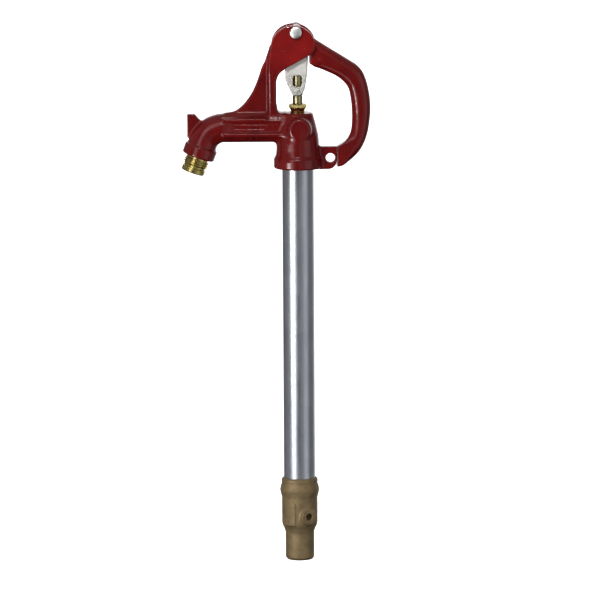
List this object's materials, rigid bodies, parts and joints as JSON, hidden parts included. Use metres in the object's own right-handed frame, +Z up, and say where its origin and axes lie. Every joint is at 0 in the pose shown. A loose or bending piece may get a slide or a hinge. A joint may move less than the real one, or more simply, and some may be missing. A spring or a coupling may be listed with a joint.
{
  "type": "frost-proof yard hydrant",
  "caption": "Frost-proof yard hydrant: red cast head with hose spout and D-shaped lever, galvanised standpipe and a self-draining bronze shut-off valve at its foot.",
  "frame": {"origin": "centre of the valve's inlet mouth, on the standpipe's axis", "axes": "+Z up the standpipe, -X towards the hose spout, +X towards the lever, -Y to the front"},
  "size_m": [0.1992, 0.0512, 0.5716],
  "materials": {
    "red_enamel": "glossy dark red enamel over sand-cast iron",
    "galvanised": "galvanised steel pipe, drawn lengthwise",
    "bronze": "sand-cast bronze, dull",
    "brass": "turned brass",
    "zinc": "bright zinc plating",
    "cast_alloy": "cast aluminium, matt",
    "steel": "plain steel",
    "rubber": "black rubber",
    "graphite": "graphited packing cord"
  },
  "bodies": {
    "hydrant": {"head_casting": "red_enamel", "hose_nozzle": "brass", "standpipe": "galvanised", "valve_body": "bronze", "packing_nut": "brass", "packing_gland": "brass", "packing_ring_1": "graphite", "packing_ring_2": "graphite", "packing_ring_3": "graphite", "pivot_bolt": "zinc", "pivot_washer": "zinc", "pivot_nut": "zinc"},
    "handle": {"lever": "red_enamel", "crank_pin": "steel"},
    "link": {"link": "cast_alloy", "link_pin": "steel", "link_pin_clip": "steel"},
    "lift_rod": {"rod_end": "brass", "stem": "brass", "stem_coupling": "brass", "lift_rod": "steel", "rod_jam_nut": "brass", "plunger_pin": "steel", "plunger_body": "bronze", "plunger_o_ring_lower": "rubber", "plunger_o_ring_upper": "rubber", "plunger_seal": "rubber", "seal_washer": "brass", "seal_screw": "brass"}
  },
  "joints": [
    {"name": "handle_pivot", "type": "hinge", "parent": "hydrant", "child": "handle", "pos_m": [-0.0015, 0, 0.564], "axis": [0, -1, 0], "range_deg": [0, 90]},
    {"name": "link_swing", "type": "hinge", "parent": "handle", "child": "link", "pos_m": [-0.0008, 0, 0.55252], "axis": [0, 1, 0], "range_deg": [0, 102.39]},
    {"name": "rod_lift", "type": "slide", "parent": "hydrant", "child": "lift_rod", "axis": [0, 0, 1], "range_m": [0, 0.01335]}
  ],
  "couplings": [
    {"joint": "link_swing", "follows": "handle_pivot", "ratio": 1.1377},
    {"joint": "rod_lift", "follows": "handle_pivot", "m_per_rad": 0.0084982}
  ]
}
